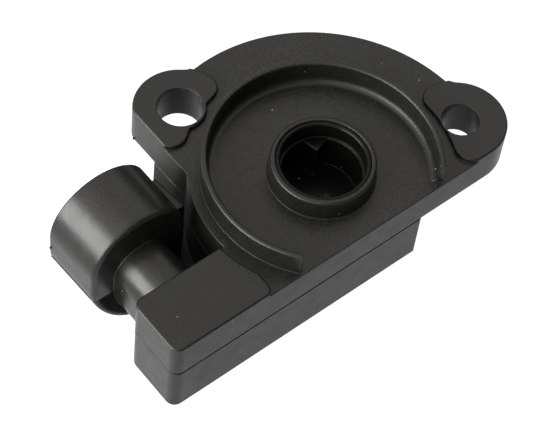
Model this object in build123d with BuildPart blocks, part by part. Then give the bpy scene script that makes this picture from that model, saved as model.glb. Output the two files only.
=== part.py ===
from build123d import *
from math import acos, atan2, cos, degrees, radians, sin, sqrt
import os

# Rotary throttle position sensor with a moulded housing, a rear cover and a side connector.
# The origin is on the rotor's axis, level with the seating pads. +Z points out of the seating side,
# +X runs along the straight front face towards the right ear, and +Y points away from that face.
# All sizes are in millimetres.

os.makedirs("parts", exist_ok=True)

# Heights, measured from the seating pads
face_z = -0.55
seam_z = -4.9
bottom_z = -12.1
rim_top_z = 2.5
boss_top_z = 2.05
rotor_top_z = 1.9

# Mounting ears and the outline of the flange
screw_circle_r = 17.85
left_screw_angle = 115.15
right_screw_angle = -12.5
left_screw_d = 5.4
right_screw_d = 4.4
screw_head_r = 3.9
ear_r = 5.45
flange_r = 20.05
flank_x = -12.35
shoulder_r = 15.0
ear_blend_r = 2.2
notch_blend_r = 0.8
pad_relief_r = 15.6
ear_pad_corner_r = 2.0
collar_bulge = 0.8
collar_blend_r = 0.6
pad_margin = 0.3
pad_edge = 0.15

# Terminal block beside the flange
block_left_x = -27.5
block_depth = 7.88
block_corner_r = 1.2
block_pad_right_x = -14.2
block_pad_corner_r = 1.6

# Pilot rim and rotor boss on the flange face
rim_r = 13.65
rim_w = 0.65
rim_opening_half_angle = 49.0
rim_base_blend_r = 0.8
rim_edge = 0.15
boss_wall = 0.55
boss_draft = 0.22
boss_edge_r = 0.3

# Rotor, its socket for the shaft and its two drive lugs
socket_r = 4.85
rotor_wall = 0.48
running_gap = 0.1
lip_chamfer = 0.15
socket_depth = 2.2
drive_r = 4.6
drive_depth = 6.9
lug_angle = 60.0
lug_half_angle = 19.0
lug_tip_r = 2.9
disc_r = 7.2
disc_top_z = -5.8
disc_t = 1.4
foot_r = 2.0
foot_gap = 0.05
foot_depth = 0.8
stop_angle = 30.0
stop_half_angle = 7.0
stop_reach = 1.2
stop_gap_angle = 1.0
sweep_angle = 105.0

# Walls and the cavity between housing and cover
floor_t = 1.6
cover_wall = 1.65
cover_floor_t = 2.3
lip_w = 0.5
lip_h = 0.7
lip_gap = 0.1
drum_r = 12.0
gusset_reach = 2.5
gusset_root = 1.0
gusset_gap = 0.1
cover_edge_r = 0.3
skirt_r = 16.6
skirt_h = 1.6
seam_groove_h = 0.25
seam_groove_w = 0.3
block_ceiling_t = 0.7
neck_slot_gap = 0.1

# Connector
plug_x = -22.3
shroud_near_y = 3.9
mould_line_z = -6.2
end_slope = 20.0
shroud_mouth_y = 11.7
shroud_near_w = 12.2
shroud_near_top_z = 4.6
shroud_near_bottom_z = -11.3
shroud_mouth_w = 13.0
shroud_mouth_top_z = 4.1
shroud_mouth_bottom_z = -11.5
shroud_edge_r = 0.6
plug_wall = 1.3
plug_depth = 6.3
neck_top_z = -0.1
neck_bottom_z = -10.3
neck_w = 7.0
lock_top_z = -3.4
lock_h = 4.2
lock_length = 4.8
lock_mouth_rise = 1.4
lock_catch_rise = 1.9

# Terminals
blade_w = 1.5
blade_t = 0.8
blade_pitch = 2.4
blade_recess = 2.4
blade_tip_r = 0.2
plate_t = 0.6
plate_pitch = 1.5
run_drop = 0.3
run_h = 1.3
finger_w = 1.1
finger_x = -10.2
blade_gap = 0.05

# Resistance element
card_t = 0.8
card_r = 7.4
card_hole_r = 3.2
card_edge_gap = 0.1
track_t = 0.1
collector_r = 5.3
resistor_r = 6.6
track_w = 0.8
lead_w = 0.6

# Wiper
wiper_t = 0.3
wiper_w = 0.7
wiper_length = 2.4
wiper_plate_w = 3.2
wiper_gap = 0.05

# Shaft seal, washer and return spring
seal_w = 1.1
seal_corner = 0.25
seal_gap = 0.05
washer_t = 0.3
washer_w = 2.2
spring_wire_d = 0.6
spring_turns = 3
spring_gap = 0.05
spring_tail = 0.8
spring_tail_gap = 0.1

# Places worked out from the sizes above
left_x = screw_circle_r * cos(radians(left_screw_angle))
left_y = screw_circle_r * sin(radians(left_screw_angle))
right_x = screw_circle_r * cos(radians(right_screw_angle))
right_y = screw_circle_r * sin(radians(right_screw_angle))
front_y = right_y - ear_r
block_back_y = front_y + block_depth
bearing_r = socket_r + rotor_wall + running_gap
floor_z = face_z - floor_t
cover_floor_z = bottom_z + cover_floor_t
channel_front_y = front_y + cover_wall
channel_back_y = block_back_y - cover_wall
channel_left_x = block_left_x + cover_wall
drum_cavity_r = drum_r - cover_wall
disc_bottom_z = disc_top_z - disc_t
card_top_z = cover_floor_z + card_t
track_top_z = card_top_z + track_t
plug_z = (shroud_mouth_top_z + shroud_mouth_bottom_z) / 2
run_top_z = plug_z - blade_pitch + blade_t / 2 - run_drop
plug_floor_y = shroud_mouth_y - plug_depth
blade_tip_y = shroud_mouth_y - blade_recess
plate_mid_y = (channel_front_y + channel_back_y) / 2
seal_r = socket_r + rotor_wall + seal_gap + seal_w / 2
seal_pocket_r = seal_r + seal_w / 2 + seal_gap
washer_r = bearing_r + washer_w
spring_r = socket_r + rotor_wall + spring_gap + spring_wire_d
spring_tail_r = spring_wire_d / sqrt(2) + spring_tail_gap


def across(y):
    """Plane across the connector at a distance y, with local x along X and local y along Z."""
    return Plane.XZ.offset(-y)


def sector(inner_r, outer_r, middle_angle, half_angle):
    """Ring sector drawn in the sketch that is open, about the rotor's axis."""
    low = middle_angle - half_angle
    high = middle_angle + half_angle
    with BuildSketch(mode=Mode.PRIVATE) as ring_sector:
        with BuildLine():
            outer = CenterArc((0, 0), outer_r, low, high - low)
            inner = CenterArc((0, 0), inner_r, low, high - low)
            Line(outer @ 0, inner @ 0)
            Line(outer @ 1, inner @ 1)
        make_face()
    add(ring_sector.sketch)


def shroud_half(slope, keep):
    """One mould half of the flared shroud, its end face leaning out by a slope from the mould line."""
    with BuildPart() as half:
        with BuildSketch(across(block_back_y)):
            with Locations((plug_x, (shroud_near_top_z + shroud_near_bottom_z) / 2)):
                SlotOverall(shroud_near_top_z - shroud_near_bottom_z, shroud_near_w, rotation=90)
        with BuildSketch(across(shroud_mouth_y)):
            with Locations((plug_x, plug_z)):
                SlotOverall(shroud_mouth_top_z - shroud_mouth_bottom_z, shroud_mouth_w, rotation=90)
        loft()
        end_plane = Plane(origin=(plug_x, shroud_near_y, mould_line_z), x_dir=(1, 0, 0), z_dir=(0, 1, 0))
        split(bisect_by=end_plane.rotated((-slope, 0, 0)), keep=Keep.TOP)
        end_face = half.faces().sort_by_distance((plug_x, shroud_near_y, mould_line_z))[0]
        fillet(end_face.edges(), radius=shroud_edge_r)
        split(bisect_by=Plane.XY.offset(mould_line_z), keep=keep)
    return half.part


# Outline of the flange and the terminal block, run anticlockwise from the front face
ear_meet = degrees(acos((flange_r**2 + screw_circle_r**2 - ear_r**2) / (2 * flange_r * screw_circle_r)))
right_meet_angle = right_screw_angle + ear_meet
left_meet_angle = left_screw_angle - ear_meet
right_meet = (flange_r * cos(radians(right_meet_angle)), flange_r * sin(radians(right_meet_angle)))
left_meet = (flange_r * cos(radians(left_meet_angle)), flange_r * sin(radians(left_meet_angle)))
ear_flank_y = left_y + sqrt(ear_r**2 - (flank_x - left_x) ** 2)
notch_y = sqrt(shoulder_r**2 - flank_x**2)
shoulder_x = -sqrt(shoulder_r**2 - block_back_y**2)
right_end_angle = degrees(atan2(right_meet[1] - right_y, right_meet[0] - right_x))
left_start_angle = degrees(atan2(left_meet[1] - left_y, left_meet[0] - left_x))
left_end_angle = degrees(atan2(ear_flank_y - left_y, flank_x - left_x))
notch_angle = degrees(atan2(notch_y, flank_x))
shoulder_angle = 360 + degrees(atan2(block_back_y, shoulder_x))

with BuildSketch() as flange_outline:
    with BuildLine():
        Line((block_left_x, front_y), (right_x, front_y))
        CenterArc((right_x, right_y), ear_r, -90, right_end_angle + 90)
        CenterArc((0, 0), flange_r, right_meet_angle, left_meet_angle - right_meet_angle)
        CenterArc((left_x, left_y), ear_r, left_start_angle, left_end_angle - left_start_angle)
        Line((flank_x, ear_flank_y), (flank_x, notch_y))
        CenterArc((0, 0), shoulder_r, notch_angle, shoulder_angle - notch_angle)
        Line((shoulder_x, block_back_y), (block_left_x, block_back_y))
        Line((block_left_x, block_back_y), (block_left_x, front_y))
    make_face()
    ear_corner_places = (right_meet, left_meet, (flank_x, ear_flank_y))
    ear_corners = [flange_outline.vertices().sort_by_distance((*p, 0))[0] for p in ear_corner_places]
    fillet(ear_corners, radius=ear_blend_r)
    fillet(flange_outline.vertices().sort_by_distance((flank_x, notch_y, 0))[0], radius=notch_blend_r)
    fillet(flange_outline.vertices().group_by(Axis.X)[0], radius=block_corner_r)

# Raised seating pads: both ears and the terminal block, cut back around the rim and trimmed to the outline
with BuildSketch() as block_pad:
    with Locations((block_left_x - pad_margin, front_y - pad_margin)):
        Rectangle(
            block_pad_right_x - block_left_x + pad_margin,
            block_depth + 2 * pad_margin,
            align=(Align.MIN, Align.MIN),
        )
    Circle(pad_relief_r, mode=Mode.SUBTRACT)
    pad_tip = block_pad.vertices().group_by(Axis.Y)[0].sort_by(Axis.X)[-1]
    fillet(pad_tip, radius=block_pad_corner_r)
    add(flange_outline.sketch, mode=Mode.INTERSECT)

with BuildSketch() as ear_pads:
    with Locations((left_x, left_y), (right_x, right_y)):
        Circle(ear_r + pad_margin)
    Circle(pad_relief_r, mode=Mode.SUBTRACT)
    fillet(ear_pads.vertices().sort_by_distance((0, 0, 0))[:4], radius=ear_pad_corner_r)
    with Locations((left_x, left_y)):
        Circle(screw_circle_r - pad_relief_r + collar_bulge)
    collar_corners = ear_pads.vertices().sort_by_distance((left_x, left_y, 0))[:2]
    fillet(collar_corners, radius=collar_blend_r)
    add(flange_outline.sketch, mode=Mode.INTERSECT)

# Cavity shared by the cover and the housing: the rotor drum and the terminal channel
with BuildSketch() as cavity_outline:
    Circle(drum_cavity_r)
    with Locations((0, channel_front_y)):
        Rectangle(2 * drum_r, drum_r, align=(Align.CENTER, Align.MAX), mode=Mode.SUBTRACT)
    with Locations((channel_left_x, channel_front_y)):
        Rectangle(-channel_left_x, channel_back_y - channel_front_y, align=(Align.MIN, Align.MIN))

with BuildSketch() as lip_outline:
    add(cavity_outline.sketch)
    offset(amount=lip_w, kind=Kind.INTERSECTION)

# Outline of the cover: it follows the flange on the connector's side and the drum on the other
with BuildSketch() as cover_outline:
    add(flange_outline.sketch)
    with Locations((block_left_x, front_y)):
        Rectangle(-block_left_x, drum_r - front_y, align=(Align.MIN, Align.MIN), mode=Mode.INTERSECT)
    Circle(drum_r)
    with Locations((0, front_y)):
        Rectangle(2 * drum_r, drum_r, align=(Align.CENTER, Align.MAX), mode=Mode.SUBTRACT)

# Gusset of the cover under the left ear, cut round for the screw head
with BuildSketch() as ear_gusset:
    with Locations((flank_x, drum_r - gusset_root)):
        Rectangle(left_x - flank_x, gusset_reach + gusset_root, align=(Align.MIN, Align.MIN))
    with Locations((left_x, left_y)):
        Circle(screw_head_r + gusset_gap, mode=Mode.SUBTRACT)

with BuildSketch() as cover_rim:
    add(cover_outline.sketch)
    add(ear_gusset.sketch)

# Housing: connector, flange, pads, rim and boss in one moulding
with BuildPart() as housing:
    # Flange and block, then the pads that stand above the flange face
    with BuildSketch(Plane.XY.offset(seam_z)):
        add(flange_outline.sketch)
    extrude(amount=face_z - seam_z)
    with BuildSketch(Plane.XY.offset(face_z)):
        add(block_pad.sketch)
        add(ear_pads.sketch)
    extrude(amount=-face_z)
    chamfer(housing.faces().filter_by(Plane.XY).group_by(Axis.Z)[-1].edges(), length=pad_edge)

    # Connector shroud in its two mould halves
    add(shroud_half(0, Keep.TOP))
    add(shroud_half(end_slope, Keep.BOTTOM))

    # Neck from the terminal block to the shroud
    with BuildSketch(across(shroud_near_y + plug_wall)):
        with Locations((plug_x, (neck_top_z + neck_bottom_z) / 2)):
            SlotOverall(neck_top_z - neck_bottom_z, neck_w, rotation=90)
    extrude(amount=shroud_near_y + plug_wall - channel_back_y)

    # Lock ramp on the shroud's inner side, which rises from the mouth to the catch
    lock_foot_x = plug_x + shroud_mouth_w / 2
    lock_catch_y = shroud_mouth_y - lock_length
    with BuildSketch(Plane.XY.offset(lock_top_z)):
        Polygon(
            (lock_foot_x - plug_wall, shroud_mouth_y),
            (lock_foot_x - plug_wall, lock_catch_y),
            (lock_foot_x + lock_catch_rise, lock_catch_y),
            (lock_foot_x + lock_mouth_rise, shroud_mouth_y),
            align=None,
        )
    extrude(amount=-lock_h)

    # Pilot rim, open towards the front face and cut square at both ends
    rim_start = radians(rim_opening_half_angle - 90)
    rim_plane = Plane(
        origin=(0, 0, 0),
        x_dir=(cos(rim_start), sin(rim_start), 0),
        z_dir=(sin(rim_start), -cos(rim_start), 0),
    )
    with BuildSketch(rim_plane) as rim_profile:
        with BuildLine():
            Polyline(
                (rim_r - rim_w - rim_base_blend_r, face_z),
                (rim_r, face_z),
                (rim_r, rim_top_z),
                (rim_r - rim_w, rim_top_z),
                (rim_r - rim_w, face_z + rim_base_blend_r),
            )
            RadiusArc(
                (rim_r - rim_w, face_z + rim_base_blend_r),
                (rim_r - rim_w - rim_base_blend_r, face_z),
                rim_base_blend_r,
            )
        make_face()
        chamfer(rim_profile.vertices().group_by(Axis.Y)[-1], length=rim_edge)
    revolve(axis=Axis.Z, revolution_arc=360 - 2 * rim_opening_half_angle)

    # Boss around the rotor
    with BuildSketch(Plane.XZ) as boss_profile:
        with BuildLine():
            Polyline(
                (bearing_r - boss_wall, face_z),
                (bearing_r + boss_wall + boss_draft, face_z),
                (bearing_r + boss_wall, boss_top_z),
                (bearing_r - boss_wall, boss_top_z),
                close=True,
            )
        make_face()
        fillet(boss_profile.vertices().group_by(Axis.Y)[-1].sort_by(Axis.X)[-1], radius=boss_edge_r)
    revolve(axis=Axis.Z)

    # Bearing bore, seal pocket and the cavity behind the flange
    with BuildSketch(Plane.XY.offset(boss_top_z)):
        Circle(bearing_r)
    extrude(amount=floor_z - boss_top_z, mode=Mode.SUBTRACT)
    with BuildSketch(Plane.XY.offset(floor_z)):
        Circle(seal_pocket_r)
    extrude(amount=seal_w, mode=Mode.SUBTRACT)
    with BuildSketch(Plane.XY.offset(seam_z)):
        add(lip_outline.sketch)
        offset(amount=lip_gap, kind=Kind.INTERSECTION)
    extrude(amount=floor_z - seam_z, mode=Mode.SUBTRACT)
    with BuildSketch(Plane.XY.offset(seam_z)):
        with Locations((channel_left_x, channel_front_y)):
            Rectangle(
                2 * (plug_x - channel_left_x),
                channel_back_y - channel_front_y,
                align=(Align.MIN, Align.MIN),
            )
    extrude(amount=-block_ceiling_t - seam_z, mode=Mode.SUBTRACT)

    # Plug socket and the slots that hold the blades
    with BuildSketch(across(shroud_mouth_y)):
        with Locations((plug_x, plug_z)):
            SlotOverall(
                shroud_mouth_top_z - shroud_mouth_bottom_z - 2 * plug_wall,
                shroud_mouth_w - 2 * plug_wall,
                rotation=90,
            )
    extrude(amount=plug_depth, mode=Mode.SUBTRACT)
    with BuildSketch(across(plug_floor_y)):
        with Locations((plug_x, plug_z)):
            with GridLocations(0, blade_pitch, 1, 3):
                Rectangle(blade_w + 2 * blade_gap, blade_t + 2 * blade_gap)
    extrude(amount=plug_floor_y - channel_back_y, mode=Mode.SUBTRACT)

    # Screw holes through both ears
    with BuildSketch(Plane.XY.offset(seam_z)):
        with Locations((left_x, left_y)):
            Circle(left_screw_d / 2)
        with Locations((right_x, right_y)):
            Circle(right_screw_d / 2)
    extrude(amount=-seam_z, mode=Mode.SUBTRACT)

# Rear cover: a tray that closes the drum and the terminal channel
with BuildPart() as rear_cover:
    with BuildSketch(Plane.XY.offset(bottom_z)):
        add(cover_outline.sketch)
    extrude(amount=seam_z - bottom_z)
    fillet(rear_cover.faces().sort_by(Axis.Z)[0].edges(), radius=cover_edge_r)
    with BuildSketch(Plane.XY.offset(bottom_z + cover_edge_r)):
        add(ear_gusset.sketch)
    extrude(amount=seam_z - bottom_z - cover_edge_r)
    # Skirt that closes the gap under the connector's neck
    with BuildSketch(Plane.XY.offset(bottom_z)):
        Circle(skirt_r)
        with Locations((flank_x, block_back_y)):
            Rectangle(
                skirt_r + flank_x,
                notch_y - block_back_y,
                align=(Align.MAX, Align.MIN),
                mode=Mode.INTERSECT,
            )
    extrude(amount=skirt_h)
    with BuildSketch(Plane.XY.offset(seam_z)):
        add(lip_outline.sketch)
    extrude(amount=lip_h)
    with BuildSketch(Plane.XY.offset(cover_floor_z)):
        add(cavity_outline.sketch)
    extrude(amount=seam_z + lip_h - cover_floor_z, mode=Mode.SUBTRACT)
    # Stop ribs at both ends of the rotor's travel
    rib_offset = 2 * stop_half_angle + stop_gap_angle
    with BuildSketch(Plane.XY.offset(cover_floor_z)):
        for rib_angle in (stop_angle - rib_offset, stop_angle + sweep_angle + rib_offset):
            sector(card_r + card_edge_gap, drum_cavity_r + lip_w, rib_angle, stop_half_angle)
    extrude(amount=disc_top_z - cover_floor_z)
    # Groove along the joint with the housing
    with BuildSketch(Plane.XY.offset(seam_z)):
        add(cover_rim.sketch)
        offset(cover_rim.sketch, amount=-seam_groove_w, mode=Mode.SUBTRACT)
    extrude(amount=-seam_groove_h, mode=Mode.SUBTRACT)
    # Notch for the neck of the connector, open towards the housing
    with BuildSketch(across(block_back_y)):
        with Locations((plug_x, (neck_top_z + neck_bottom_z) / 2)):
            SlotOverall(
                neck_top_z - neck_bottom_z + 2 * neck_slot_gap,
                neck_w + 2 * neck_slot_gap,
                rotation=90,
            )
    extrude(amount=cover_wall, mode=Mode.SUBTRACT)
    # Bearing for the rotor's foot
    with BuildSketch(Plane.XY.offset(cover_floor_z)):
        Circle(foot_r + foot_gap)
    extrude(amount=-foot_depth - foot_gap, mode=Mode.SUBTRACT)

# Rotor: shaft socket with two drive lugs, wiper disc, stop and foot
with BuildPart() as rotor:
    with BuildSketch(Plane.XZ):
        with BuildLine():
            Polyline(
                (0, cover_floor_z - foot_depth),
                (foot_r, cover_floor_z - foot_depth),
                (foot_r, disc_bottom_z),
                (disc_r, disc_bottom_z),
                (disc_r, disc_top_z),
                (socket_r + rotor_wall, disc_top_z),
                (socket_r + rotor_wall, rotor_top_z),
                (socket_r + lip_chamfer, rotor_top_z),
                (socket_r, rotor_top_z - lip_chamfer),
                (socket_r, rotor_top_z - socket_depth),
                (drive_r, rotor_top_z - socket_depth),
                (drive_r, rotor_top_z - drive_depth),
                (0, rotor_top_z - drive_depth),
                close=True,
            )
        make_face()
    revolve(axis=Axis.Z)
    with BuildSketch(Plane.XY.offset(rotor_top_z - drive_depth)):
        for angle in (lug_angle, lug_angle + 180):
            low = radians(angle - lug_half_angle)
            high = radians(angle + lug_half_angle)
            lug_base_r = drive_r + rotor_wall / 2
            Polygon(
                (lug_tip_r * cos(radians(angle)), lug_tip_r * sin(radians(angle))),
                (lug_base_r * cos(low), lug_base_r * sin(low)),
                (lug_base_r * cos(high), lug_base_r * sin(high)),
                align=None,
            )
    extrude(amount=drive_depth - socket_depth)
    with BuildSketch(Plane.XY.offset(disc_bottom_z)):
        sector(disc_r - stop_reach, disc_r + stop_reach, stop_angle, stop_half_angle)
    extrude(amount=disc_t)
    with BuildSketch(Plane.XY.offset(disc_top_z)):
        with Locations((spring_r, 0)):
            Circle(spring_tail_r)
    extrude(amount=-spring_tail - spring_tail_gap, mode=Mode.SUBTRACT)

# Seal ring in the pocket around the rotor
with BuildPart() as shaft_seal:
    with BuildSketch(Plane.XZ) as seal_profile:
        with Locations((seal_r, floor_z + seal_w / 2)):
            Rectangle(seal_w, seal_w)
        chamfer(seal_profile.vertices(), length=seal_corner)
    revolve(axis=Axis.Z)

# Washer that keeps the seal in its pocket and carries the spring
with BuildPart() as seal_washer:
    with BuildSketch(Plane.XY.offset(floor_z)):
        Circle(washer_r)
        Circle(bearing_r, mode=Mode.SUBTRACT)
        with Locations((spring_r, 0)):
            Circle(spring_tail_r, mode=Mode.SUBTRACT)
    extrude(amount=-washer_t)

# Return spring: a coil around the rotor with a straight tail at each end
with BuildPart() as return_spring:
    coil_top_z = floor_z - washer_t - spring_gap - spring_wire_d / 2
    coil_bottom_z = disc_top_z + spring_gap + spring_wire_d / 2
    coil_h = coil_top_z - coil_bottom_z
    with BuildLine():
        coil = Helix(coil_h / spring_turns, coil_h, spring_r, center=(0, 0, coil_bottom_z))
    with BuildSketch(Plane(origin=coil @ 0, x_dir=(1, 0, 0), z_dir=coil % 0)):
        Rectangle(spring_wire_d, spring_wire_d)
    sweep(is_frenet=True)
    for end_z, tip_z in ((coil_bottom_z, disc_top_z - spring_tail), (coil_top_z, floor_z - spring_gap)):
        with BuildSketch(Plane.XY.offset(end_z)):
            with Locations((spring_r, 0)):
                Rectangle(spring_wire_d, spring_wire_d)
        extrude(amount=tip_z - end_z)

# Resistance element: card, horseshoe resistor and collector ring with their leads
finger_low_x = finger_x - finger_w
with BuildPart() as element_card:
    with BuildSketch(Plane.XY.offset(cover_floor_z)):
        Circle(card_r)
        with Locations((finger_low_x - card_edge_gap, channel_front_y + card_edge_gap)):
            Rectangle(
                card_edge_gap - finger_low_x,
                channel_back_y - channel_front_y - 2 * card_edge_gap,
                align=(Align.MIN, Align.MIN),
            )
        Circle(card_hole_r, mode=Mode.SUBTRACT)
    extrude(amount=card_t)

with BuildPart() as resistor_track:
    with BuildSketch(Plane.XY.offset(card_top_z)):
        Circle(resistor_r + track_w / 2)
        Circle(resistor_r - track_w / 2, mode=Mode.SUBTRACT)
        with Locations((0, plate_mid_y)):
            Rectangle(
                resistor_r + track_w,
                2 * plate_pitch,
                align=(Align.MAX, Align.CENTER),
                mode=Mode.SUBTRACT,
            )
        near_lead_y = plate_mid_y + plate_pitch
        far_lead_y = plate_mid_y - plate_pitch
        near_end_x = -sqrt(resistor_r**2 - near_lead_y**2)
        for lead_y, lead_end_x in ((near_lead_y, near_end_x), (far_lead_y, 0)):
            with Locations((finger_low_x, lead_y)):
                Rectangle(lead_end_x - finger_low_x, lead_w, align=(Align.MIN, Align.CENTER))
    extrude(amount=track_t)

with BuildPart() as collector_track:
    with BuildSketch(Plane.XY.offset(card_top_z)):
        Circle(collector_r + track_w / 2)
        Circle(collector_r - track_w / 2, mode=Mode.SUBTRACT)
        with Locations((finger_low_x, plate_mid_y)):
            Rectangle(-finger_low_x, lead_w, align=(Align.MIN, Align.CENTER))
    extrude(amount=track_t)

# Wiper: a plate under the disc with one bent finger for each track
with BuildPart() as wiper_contact:
    mid_track_r = (collector_r + resistor_r) / 2
    with BuildSketch(Plane.XY.offset(disc_bottom_z)):
        with Locations((0, mid_track_r)):
            Rectangle(wiper_plate_w, resistor_r - collector_r + wiper_w)
    extrude(amount=-wiper_t)
    finger_start_z = disc_bottom_z - wiper_t / 2
    finger_start_x = wiper_plate_w / 2
    finger_end_x = finger_start_x - wiper_length
    finger_bend_x = finger_end_x + wiper_t
    finger_tip_z = track_top_z + wiper_gap
    for finger_r in (collector_r, resistor_r):
        with BuildSketch(Plane.XZ.offset(-finger_r)):
            with BuildLine():
                Polyline(
                    (finger_start_x, finger_start_z),
                    (finger_bend_x, finger_tip_z + wiper_t),
                    (finger_end_x, finger_tip_z + wiper_t),
                    (finger_end_x, finger_tip_z),
                    (finger_bend_x, finger_tip_z),
                    (finger_start_x, finger_start_z - wiper_t),
                    close=True,
                )
            make_face()
        extrude(amount=wiper_w / 2, both=True)


def terminal(step):
    """One stamped terminal: a blade in the plug, a folded plate and a finger on the card."""
    blade_z = plug_z + step * blade_pitch
    plate_y = plate_mid_y - step * plate_pitch
    with BuildPart() as strip:
        with BuildSketch(across(blade_tip_y)):
            with Locations((plug_x, blade_z)):
                Rectangle(blade_w, blade_t)
        extrude(amount=blade_tip_y - plate_y + plate_t / 2)
        fillet(strip.faces().sort_by(Axis.Y)[-1].edges(), radius=blade_tip_r)
        with BuildSketch(across(plate_y)):
            with BuildLine():
                Polyline(
                    (plug_x - blade_w / 2, blade_z + blade_t / 2),
                    (plug_x + blade_w / 2, blade_z + blade_t / 2),
                    (plug_x + blade_w / 2, run_top_z),
                    (finger_x, run_top_z),
                    (finger_x, track_top_z),
                    (finger_low_x, track_top_z),
                    (finger_low_x, run_top_z - run_h),
                    (plug_x - blade_w / 2, run_top_z - run_h),
                    close=True,
                )
            make_face()
        extrude(amount=plate_t / 2, both=True)
    return strip.part


terminals = {
    "terminal_supply": terminal(1),
    "terminal_signal": terminal(0),
    "terminal_ground": terminal(-1),
}

nodes = {
    "housing": housing.part,
    "rear_cover": rear_cover.part,
    "rotor": rotor.part,
    "shaft_seal": shaft_seal.part,
    "seal_washer": seal_washer.part,
    "return_spring": return_spring.part,
    "element_card": element_card.part,
    "resistor_track": resistor_track.part,
    "collector_track": collector_track.part,
    "wiper_contact": wiper_contact.part,
    **terminals,
}
for name, part in nodes.items():
    part.label = name
    export_step(part, f"parts/{name}.step")
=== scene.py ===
from math import radians

import bmesh
import bpy
from mathutils import Matrix, Quaternion, Vector


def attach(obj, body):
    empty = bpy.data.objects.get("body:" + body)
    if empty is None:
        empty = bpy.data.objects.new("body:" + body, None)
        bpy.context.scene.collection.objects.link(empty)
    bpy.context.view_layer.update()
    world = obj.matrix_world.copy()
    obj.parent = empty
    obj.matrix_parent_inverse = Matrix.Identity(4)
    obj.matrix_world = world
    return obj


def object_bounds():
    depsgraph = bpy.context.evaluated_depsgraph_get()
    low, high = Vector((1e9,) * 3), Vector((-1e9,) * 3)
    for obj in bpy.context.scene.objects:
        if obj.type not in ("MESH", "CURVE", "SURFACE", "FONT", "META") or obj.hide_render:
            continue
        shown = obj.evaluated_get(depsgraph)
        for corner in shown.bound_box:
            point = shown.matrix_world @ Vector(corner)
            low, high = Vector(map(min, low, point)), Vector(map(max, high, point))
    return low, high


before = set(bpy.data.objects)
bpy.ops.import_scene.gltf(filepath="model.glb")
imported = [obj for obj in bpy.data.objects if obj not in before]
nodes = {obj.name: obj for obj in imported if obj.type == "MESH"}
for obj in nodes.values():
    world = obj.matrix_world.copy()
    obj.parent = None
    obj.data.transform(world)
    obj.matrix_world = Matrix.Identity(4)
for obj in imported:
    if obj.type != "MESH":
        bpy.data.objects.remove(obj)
cad_low, cad_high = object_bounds()

MM = 0.001
Z_AXIS = (0, 0, 1)

# Camera: the eye and the point it looks at, the roll in degrees, and the lens and sensor in mm
EYE = Vector((-101.46, -94.51, 195.52)) * MM
TARGET = Vector((-6.73, -1.04, -3.4)) * MM
ROLL = 7.99
LENS = 138.53
SENSOR_WIDTH = 36
NEAR_CLIP = 10 * MM

# Sky: dim all round, with a glow at the left and one high up behind
SKY_COLOUR = (1.0, 0.99, 0.94, 1)
SKY_DIM = 0.15
SKY_LEFT = (-0.8, 0.1, 0.59)
SKY_LEFT_GLOW = 3.8
SKY_BACK = (0.5, 0.5, 0.7)
SKY_BACK_DIM = 0.2
SKY_BACK_GLOW = 2.2

# Soft box: its place and side in metres, and its power in watts
KEY_PLACE = Vector((-0.5, 0.12, 0.11))
KEY_SIZE = 0.5
KEY_POWER = 15.5

# Floor: a dark sheet with a white glow, which grows between two distances towards the left as a painted pool
# of light
FLOOR_SIZE = 4.0
FLOOR_COLOUR = (0.02, 0.02, 0.02, 1)
FLOOR_ROUGHNESS = 0.9
FLOOR_LIGHT = (1, 1, 1, 1)
FLOOR_TOWARDS = (-0.85, 0.53, 0.0)
FLOOR_FRONT, FLOOR_FRONT_GLOW = 13 * MM, 1.0
FLOOR_LEFT, FLOOR_LEFT_GLOW = 21 * MM, 1.36

# Painted shadow between connector and flange: middle and half sizes of an oval on the floor, where z has no
# effect
SHADE_MIDDLE = (-16 * MM, 9 * MM, 0.0)
SHADE_REACH = (5 * MM, 11 * MM, 1.0)

# Mould flash: the ridge's ends on the connector's left side, its section, and two nubs with their radius
FLASH_NEAR = Vector((-28.46, 4.5, -6.2)) * MM
FLASH_MOUTH = Vector((-28.68, 11.6, -6.2)) * MM
FLASH_RISE = 0.1 * MM
FLASH_FOOT = 0.1 * MM
FLASH_HALF_H = 0.09 * MM
NUB_PLACES = (Vector((-28.8, 11.6, -4.4)) * MM, Vector((-12.35, 18.4, -4.8)) * MM)
NUB_R = 0.17 * MM

# Plastic: its colours, its refraction, and the roughness and bump of the matt and the smooth finish
BLACK = (0.001, 0.001, 0.0009, 1)
CHARCOAL = (0.002, 0.002, 0.0018, 1)
GRAIN_COLOUR = (0.012, 0.012, 0.011, 1)
WORN_COLOUR = (0.012, 0.012, 0.0115, 1)
DUST_COLOUR = (0.12, 0.12, 0.115, 1)
PLASTIC_IOR = 1.28
MATT_ROUGHNESS, MATT_BUMP = 0.37, 0.55
SMOOTH_ROUGHNESS, SMOOTH_BUMP = 0.3, 0.05

# The connector has the smooth finish: it lies behind one line on the housing and left of another
CONNECTOR_FRONT_Y = -1.4 * MM
CONNECTOR_RIGHT_X = -15.6 * MM

METAL_EDGE_COLOUR = (0.95, 0.9, 0.8, 1)


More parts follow.
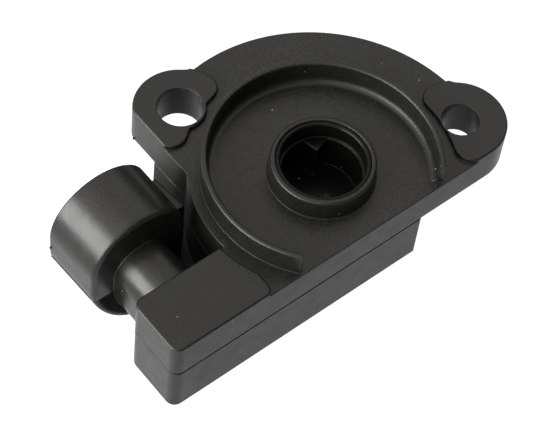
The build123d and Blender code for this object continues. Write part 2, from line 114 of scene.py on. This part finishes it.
class Tree:
    """A node tree, with short calls that add a node and set or link its inputs."""

    def __init__(self, tree):
        self.tree = tree
        self.tree.nodes.clear()

    def add(self, kind, inputs=None, **settings):
        made = self.tree.nodes.new(kind)
        for key, value in settings.items():
            setattr(made, key, value)
        for key, value in (inputs or {}).items():
            self.set(made, key, value)
        return made

    def set(self, made, key, value):
        if isinstance(value, bpy.types.NodeSocket):
            self.tree.links.new(value, made.inputs[key])
        else:
            made.inputs[key].default_value = value

    def math(self, operation, a, b):
        return self.add("ShaderNodeMath", {0: a, 1: b}, operation=operation).outputs["Value"]

    def vector_math(self, operation, *vectors):
        """The outputs of a vector operation, which gives its Vector or its Value."""
        return self.add("ShaderNodeVectorMath", dict(enumerate(vectors)), operation=operation).outputs

    def along(self, vector, towards):
        """Length of a vector along a direction."""
        return self.vector_math("DOT_PRODUCT", vector, towards)["Value"]

    def fade(self, value, start, end, low=0.0, high=1.0):
        """Low for a value at start and high for one at end, even in between and held beyond them."""
        inputs = {"Value": value, "From Min": start, "From Max": end, "To Min": low, "To Max": high}
        return self.add("ShaderNodeMapRange", inputs).outputs["Result"]

    def mix(self, share, first, second, kind="RGBA"):
        """Blend of two colours, or of two numbers where the kind is FLOAT, by a share from 0 to 1."""
        inputs = {"Factor": share, "A": first, "B": second}
        return self.add("ShaderNodeMix", inputs, data_type=kind).outputs["Result"]


class Surface(Tree):
    """The node tree of a new material with one principled shader."""

    def __init__(self, name):
        self.material = bpy.data.materials.new(name)
        self.material.use_nodes = True
        super().__init__(self.material.node_tree)
        self.shader = self.add("ShaderNodeBsdfPrincipled")
        self.add("ShaderNodeOutputMaterial", {"Surface": self.shader.outputs["BSDF"]})
        self.place = self.add("ShaderNodeTexCoord").outputs["Object"]

    def noise(self, waves, detail=2.0, roughness=0.5):
        """Soft noise from 0 to 1, with so many waves per metre."""
        inputs = {"Vector": self.place, "Scale": waves, "Detail": detail, "Roughness": roughness}
        return self.add("ShaderNodeTexNoise", inputs).outputs["Fac"]

    def open_share(self, reach, closed, free):
        """0 in crevices and 1 in the open, from how much of the near surroundings is free."""
        seen = self.add("ShaderNodeAmbientOcclusion", {"Distance": reach}, samples=12).outputs["AO"]
        return self.fade(seen, start=closed, end=free)

    def edges(self, radius, share=1.0):
        """Rounded normal near edges, and a mask that is 0 away from them and a share on them."""
        rounded = self.add("ShaderNodeBevel", {"Radius": radius}, samples=6).outputs["Normal"]
        flat = self.add("ShaderNodeNewGeometry").outputs["Normal"]
        return rounded, self.fade(self.along(rounded, flat), start=0.98, end=0.8, high=share)

    def uneven(self, roughness, waves, detail, less, more):
        """Roughness that changes from place to place, down by less at most and up by more at most."""
        change = self.fade(self.noise(waves, detail), start=0.3, end=0.7, low=-less, high=more)
        return self.math("ADD", roughness, change)

    def bump(self, height, strength, distance, normal):
        inputs = {"Height": height, "Strength": strength, "Distance": distance, "Normal": normal}
        return self.add("ShaderNodeBump", inputs).outputs["Normal"]

    def finish(self, colour, roughness, normal=None):
        self.set(self.shader, "Base Color", colour)
        self.set(self.shader, "Roughness", roughness)
        if normal is not None:
            self.set(self.shader, "Normal", normal)
        return self.material


def grained(s, body, share):
    """A body colour with the fine pale grain of the mould, up to a share."""
    grain = s.fade(s.noise(waves=6500, roughness=0.6), start=0.42, end=0.68, high=share)
    return s.mix(grain, body, GRAIN_COLOUR)


def worn(s, body, on_edge):
    """A body colour with edges that are rubbed paler, in some places more than in others."""
    rubbed = s.fade(s.noise(waves=500), start=0.35, end=0.7, low=0.1, high=0.5)
    return s.mix(s.math("MULTIPLY", on_edge, rubbed), body, WORN_COLOUR)


def dusty(s, body):
    """A body colour with a few specks of dust, one at the middle of a cell, and only in patches."""
    distance = s.add("ShaderNodeTexVoronoi", {"Vector": s.place, "Scale": 420}).outputs["Distance"]
    specks = s.fade(distance, start=0.06, end=0.035, high=0.6)
    patches = s.fade(s.noise(waves=900), start=0.45, end=0.5)
    return s.mix(s.math("MULTIPLY", specks, patches), body, DUST_COLOUR)


def moulded_plastic(name, light=CHARCOAL, roughness=MATT_ROUGHNESS, grain=0.7, shine=0.5, smooth_share=None):
    """Black glass-filled plastic: cloudy colour, fine mould grain, paler worn edges and a few specks of dust.
    smooth_share gives where the surface has the smooth finish in place of the matt one."""
    s = Surface(name)
    s.shader.inputs["IOR"].default_value = PLASTIC_IOR
    s.shader.inputs["Specular IOR Level"].default_value = shine
    rounded, on_edge = s.edges(radius=0.25 * MM)
    body = s.mix(s.noise(waves=180, detail=3), BLACK, light)
    body = dusty(s, worn(s, grained(s, body, grain), on_edge))
    strength = MATT_BUMP
    if smooth_share:
        share = smooth_share(s)
        roughness = s.mix(share, roughness, SMOOTH_ROUGHNESS, "FLOAT")
        strength = s.mix(share, strength, SMOOTH_BUMP, "FLOAT")
    roughness = s.uneven(roughness, waves=700, detail=3, less=0.03, more=0.04)
    pores = s.noise(waves=5200, detail=4, roughness=0.6)
    return s.finish(body, roughness, s.bump(pores, strength, distance=0.03 * MM, normal=rounded))


def connector_share(s):
    """1 on the connector's neck and shroud, and 0 on the rest of the housing."""
    axes = s.add("ShaderNodeSeparateXYZ", {"Vector": s.place}).outputs
    behind = s.math("GREATER_THAN", axes["Y"], CONNECTOR_FRONT_Y)
    beside = s.math("LESS_THAN", axes["X"], CONNECTOR_RIGHT_X)
    return s.math("MULTIPLY", behind, beside)


def metal(name, dark, light, roughness):
    """Stamped or drawn metal: cloudy colour, fine grain and bright edges."""
    s = Surface(name)
    s.shader.inputs["Metallic"].default_value = 1.0
    rounded, on_edge = s.edges(radius=0.08 * MM, share=0.4)
    body = s.mix(s.noise(waves=400, detail=3), dark, light)
    body = s.mix(on_edge, body, METAL_EDGE_COLOUR)
    roughness = s.uneven(roughness, waves=1500, detail=3, less=0.08, more=0.1)
    grain = s.noise(waves=4000, detail=3)
    return s.finish(body, roughness, s.bump(grain, strength=0.12, distance=0.02 * MM, normal=rounded))


def printed(name, dark, light, roughness):
    """Rubber, laminate or printed ink: mottled colour with a fine grain."""
    s = Surface(name)
    rounded, on_edge = s.edges(radius=0.06 * MM, share=0.3)
    body = s.mix(s.noise(waves=900, detail=4), dark, light)
    body = s.mix(on_edge, body, light)
    roughness = s.uneven(roughness, waves=1200, detail=2, less=0.05, more=0.05)
    grain = s.noise(waves=6000, detail=3)
    return s.finish(body, roughness, s.bump(grain, strength=0.2, distance=0.02 * MM, normal=rounded))


def glowing_sheet(name):
    """The floor: it glows, with a painted pool of light at the left, painted contact shade close under the
    part and a painted shadow beside the connector.
    """
    s = Surface(name)
    # Painted pool of light: the glow grows towards the left
    leaning = s.along(s.place, FLOOR_TOWARDS)
    glow = s.fade(leaning, FLOOR_FRONT, FLOOR_LEFT, FLOOR_FRONT_GLOW, FLOOR_LEFT_GLOW)
    # Painted contact shade: the glow fades where the part closes in around the floor
    glow = s.math("MULTIPLY", glow, s.open_share(reach=15 * MM, closed=0.05, free=0.15))
    # Painted shadow: the glow fades inside the oval between connector and flange
    away = s.vector_math("SUBTRACT", s.place, SHADE_MIDDLE)["Vector"]
    away = s.vector_math("DIVIDE", away, SHADE_REACH)["Vector"]
    away = s.vector_math("LENGTH", away)["Value"]
    glow = s.math("MULTIPLY", glow, s.fade(away, start=0.8, end=1.0))
    s.set(s.shader, "Emission Color", FLOOR_LIGHT)
    s.set(s.shader, "Emission Strength", glow)
    return s.finish(FLOOR_COLOUR, FLOOR_ROUGHNESS)


brass = metal("terminal_brass_look", (0.62, 0.42, 0.16, 1), (0.78, 0.56, 0.25, 1), 0.3)
finishes = {
    "housing": moulded_plastic("housing_plastic_look", smooth_share=connector_share),
    "rear_cover": moulded_plastic("cover_plastic_look"),
    "rotor": moulded_plastic("rotor_plastic_look", light=BLACK, roughness=0.2, grain=0.1, shine=0.2),
    "shaft_seal": printed("seal_rubber_look", (0.012, 0.012, 0.013, 1), (0.03, 0.03, 0.03, 1), 0.6),
    "seal_washer": metal("washer_steel_look", (0.5, 0.5, 0.52, 1), (0.65, 0.65, 0.66, 1), 0.35),
    "return_spring": metal("spring_steel_look", (0.32, 0.33, 0.35, 1), (0.5, 0.5, 0.52, 1), 0.3),
    "element_card": printed("card_laminate_look", (0.12, 0.07, 0.03, 1), (0.2, 0.12, 0.05, 1), 0.45),
    "resistor_track": printed("resistor_ink_look", (0.012, 0.012, 0.012, 1), (0.03, 0.03, 0.03, 1), 0.4),
    "collector_track": printed("collector_ink_look", (0.45, 0.44, 0.42, 1), (0.6, 0.59, 0.57, 1), 0.35),
    "wiper_contact": metal("wiper_brass_look", (0.6, 0.42, 0.18, 1), (0.75, 0.55, 0.28, 1), 0.25),
    "terminal_supply": brass,
    "terminal_signal": brass,
    "terminal_ground": brass,
}
for name, finish in finishes.items():
    nodes[name].data.materials[0] = finish


def mould_flash():
    """A fine ridge along the connector's parting line and two small nubs, in the housing's plastic."""
    mesh = bmesh.new()
    up = Vector((0, 0, FLASH_HALF_H))
    ends = []
    for place in (FLASH_NEAR, FLASH_MOUTH):
        foot = place + Vector((FLASH_FOOT, 0, 0))
        crest = place - Vector((FLASH_RISE, 0, 0))
        ends.append([mesh.verts.new(corner) for corner in (foot + up, crest, foot - up)])
    near, mouth = ends
    for i in range(3):
        j = (i + 1) % 3
        mesh.faces.new((near[i], near[j], mouth[j], mouth[i]))
    mesh.faces.new(near)
    mesh.faces.new(reversed(mouth))
    for place in NUB_PLACES:
        bmesh.ops.create_icosphere(mesh, subdivisions=2, radius=NUB_R, matrix=Matrix.Translation(place))
    bmesh.ops.recalc_face_normals(mesh, faces=mesh.faces)
    flash = bpy.data.objects.new("mould_flash", bpy.data.meshes.new("mould_flash"))
    mesh.to_mesh(flash.data)
    mesh.free()
    flash.data.materials.append(finishes["housing"])
    bpy.context.collection.objects.link(flash)
    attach(flash, "housing_body")


mould_flash()

# Floor
bpy.ops.mesh.primitive_plane_add(size=FLOOR_SIZE, location=(0, 0, cad_low.z))
floor = bpy.context.object
floor.name = "floor"
floor.data.materials.append(glowing_sheet("floor_sheet"))

# Sky: each glow grows towards its own direction, and the one behind only starts well above the horizon
world = bpy.data.worlds.new("studio")
world.use_nodes = True
sky = Tree(world.node_tree)
direction = sky.add("ShaderNodeTexCoord").outputs["Generated"]
left = sky.fade(sky.along(direction, SKY_LEFT), start=0.45, end=0.95, low=SKY_DIM, high=SKY_LEFT_GLOW)
back = sky.fade(sky.along(direction, SKY_BACK), start=0.4, end=1.0, low=SKY_BACK_DIM, high=SKY_BACK_GLOW)
above = sky.fade(sky.along(direction, Z_AXIS), start=0.38, end=0.5)
strength = sky.math("ADD", left, sky.math("MULTIPLY", back, above))
background = sky.add("ShaderNodeBackground", {"Color": SKY_COLOUR, "Strength": strength})
sky.add("ShaderNodeOutputWorld", {"Surface": background.outputs["Background"]})
bpy.context.scene.world = world
bpy.context.scene.view_settings.view_transform = "Standard"


def aim(thing, place, roll=0.0):
    """Put a lamp or camera at a place, turned towards the target and rolled by some degrees."""
    thing.location = place
    thing.rotation_mode = "QUATERNION"
    thing.rotation_quaternion = (TARGET - place).to_track_quat("-Z", "Y") @ Quaternion(Z_AXIS, radians(roll))
    bpy.context.collection.objects.link(thing)


# Soft box: one large square area light
key = bpy.data.objects.new("key", bpy.data.lights.new("key", "AREA"))
key.data.size = KEY_SIZE
key.data.energy = KEY_POWER
aim(key, KEY_PLACE)

# Camera
camera = bpy.data.objects.new("camera", bpy.data.cameras.new("camera"))
camera.data.lens = LENS
camera.data.sensor_width = SENSOR_WIDTH
camera.data.clip_start = NEAR_CLIP
aim(camera, EYE, ROLL)
bpy.context.scene.camera = camera
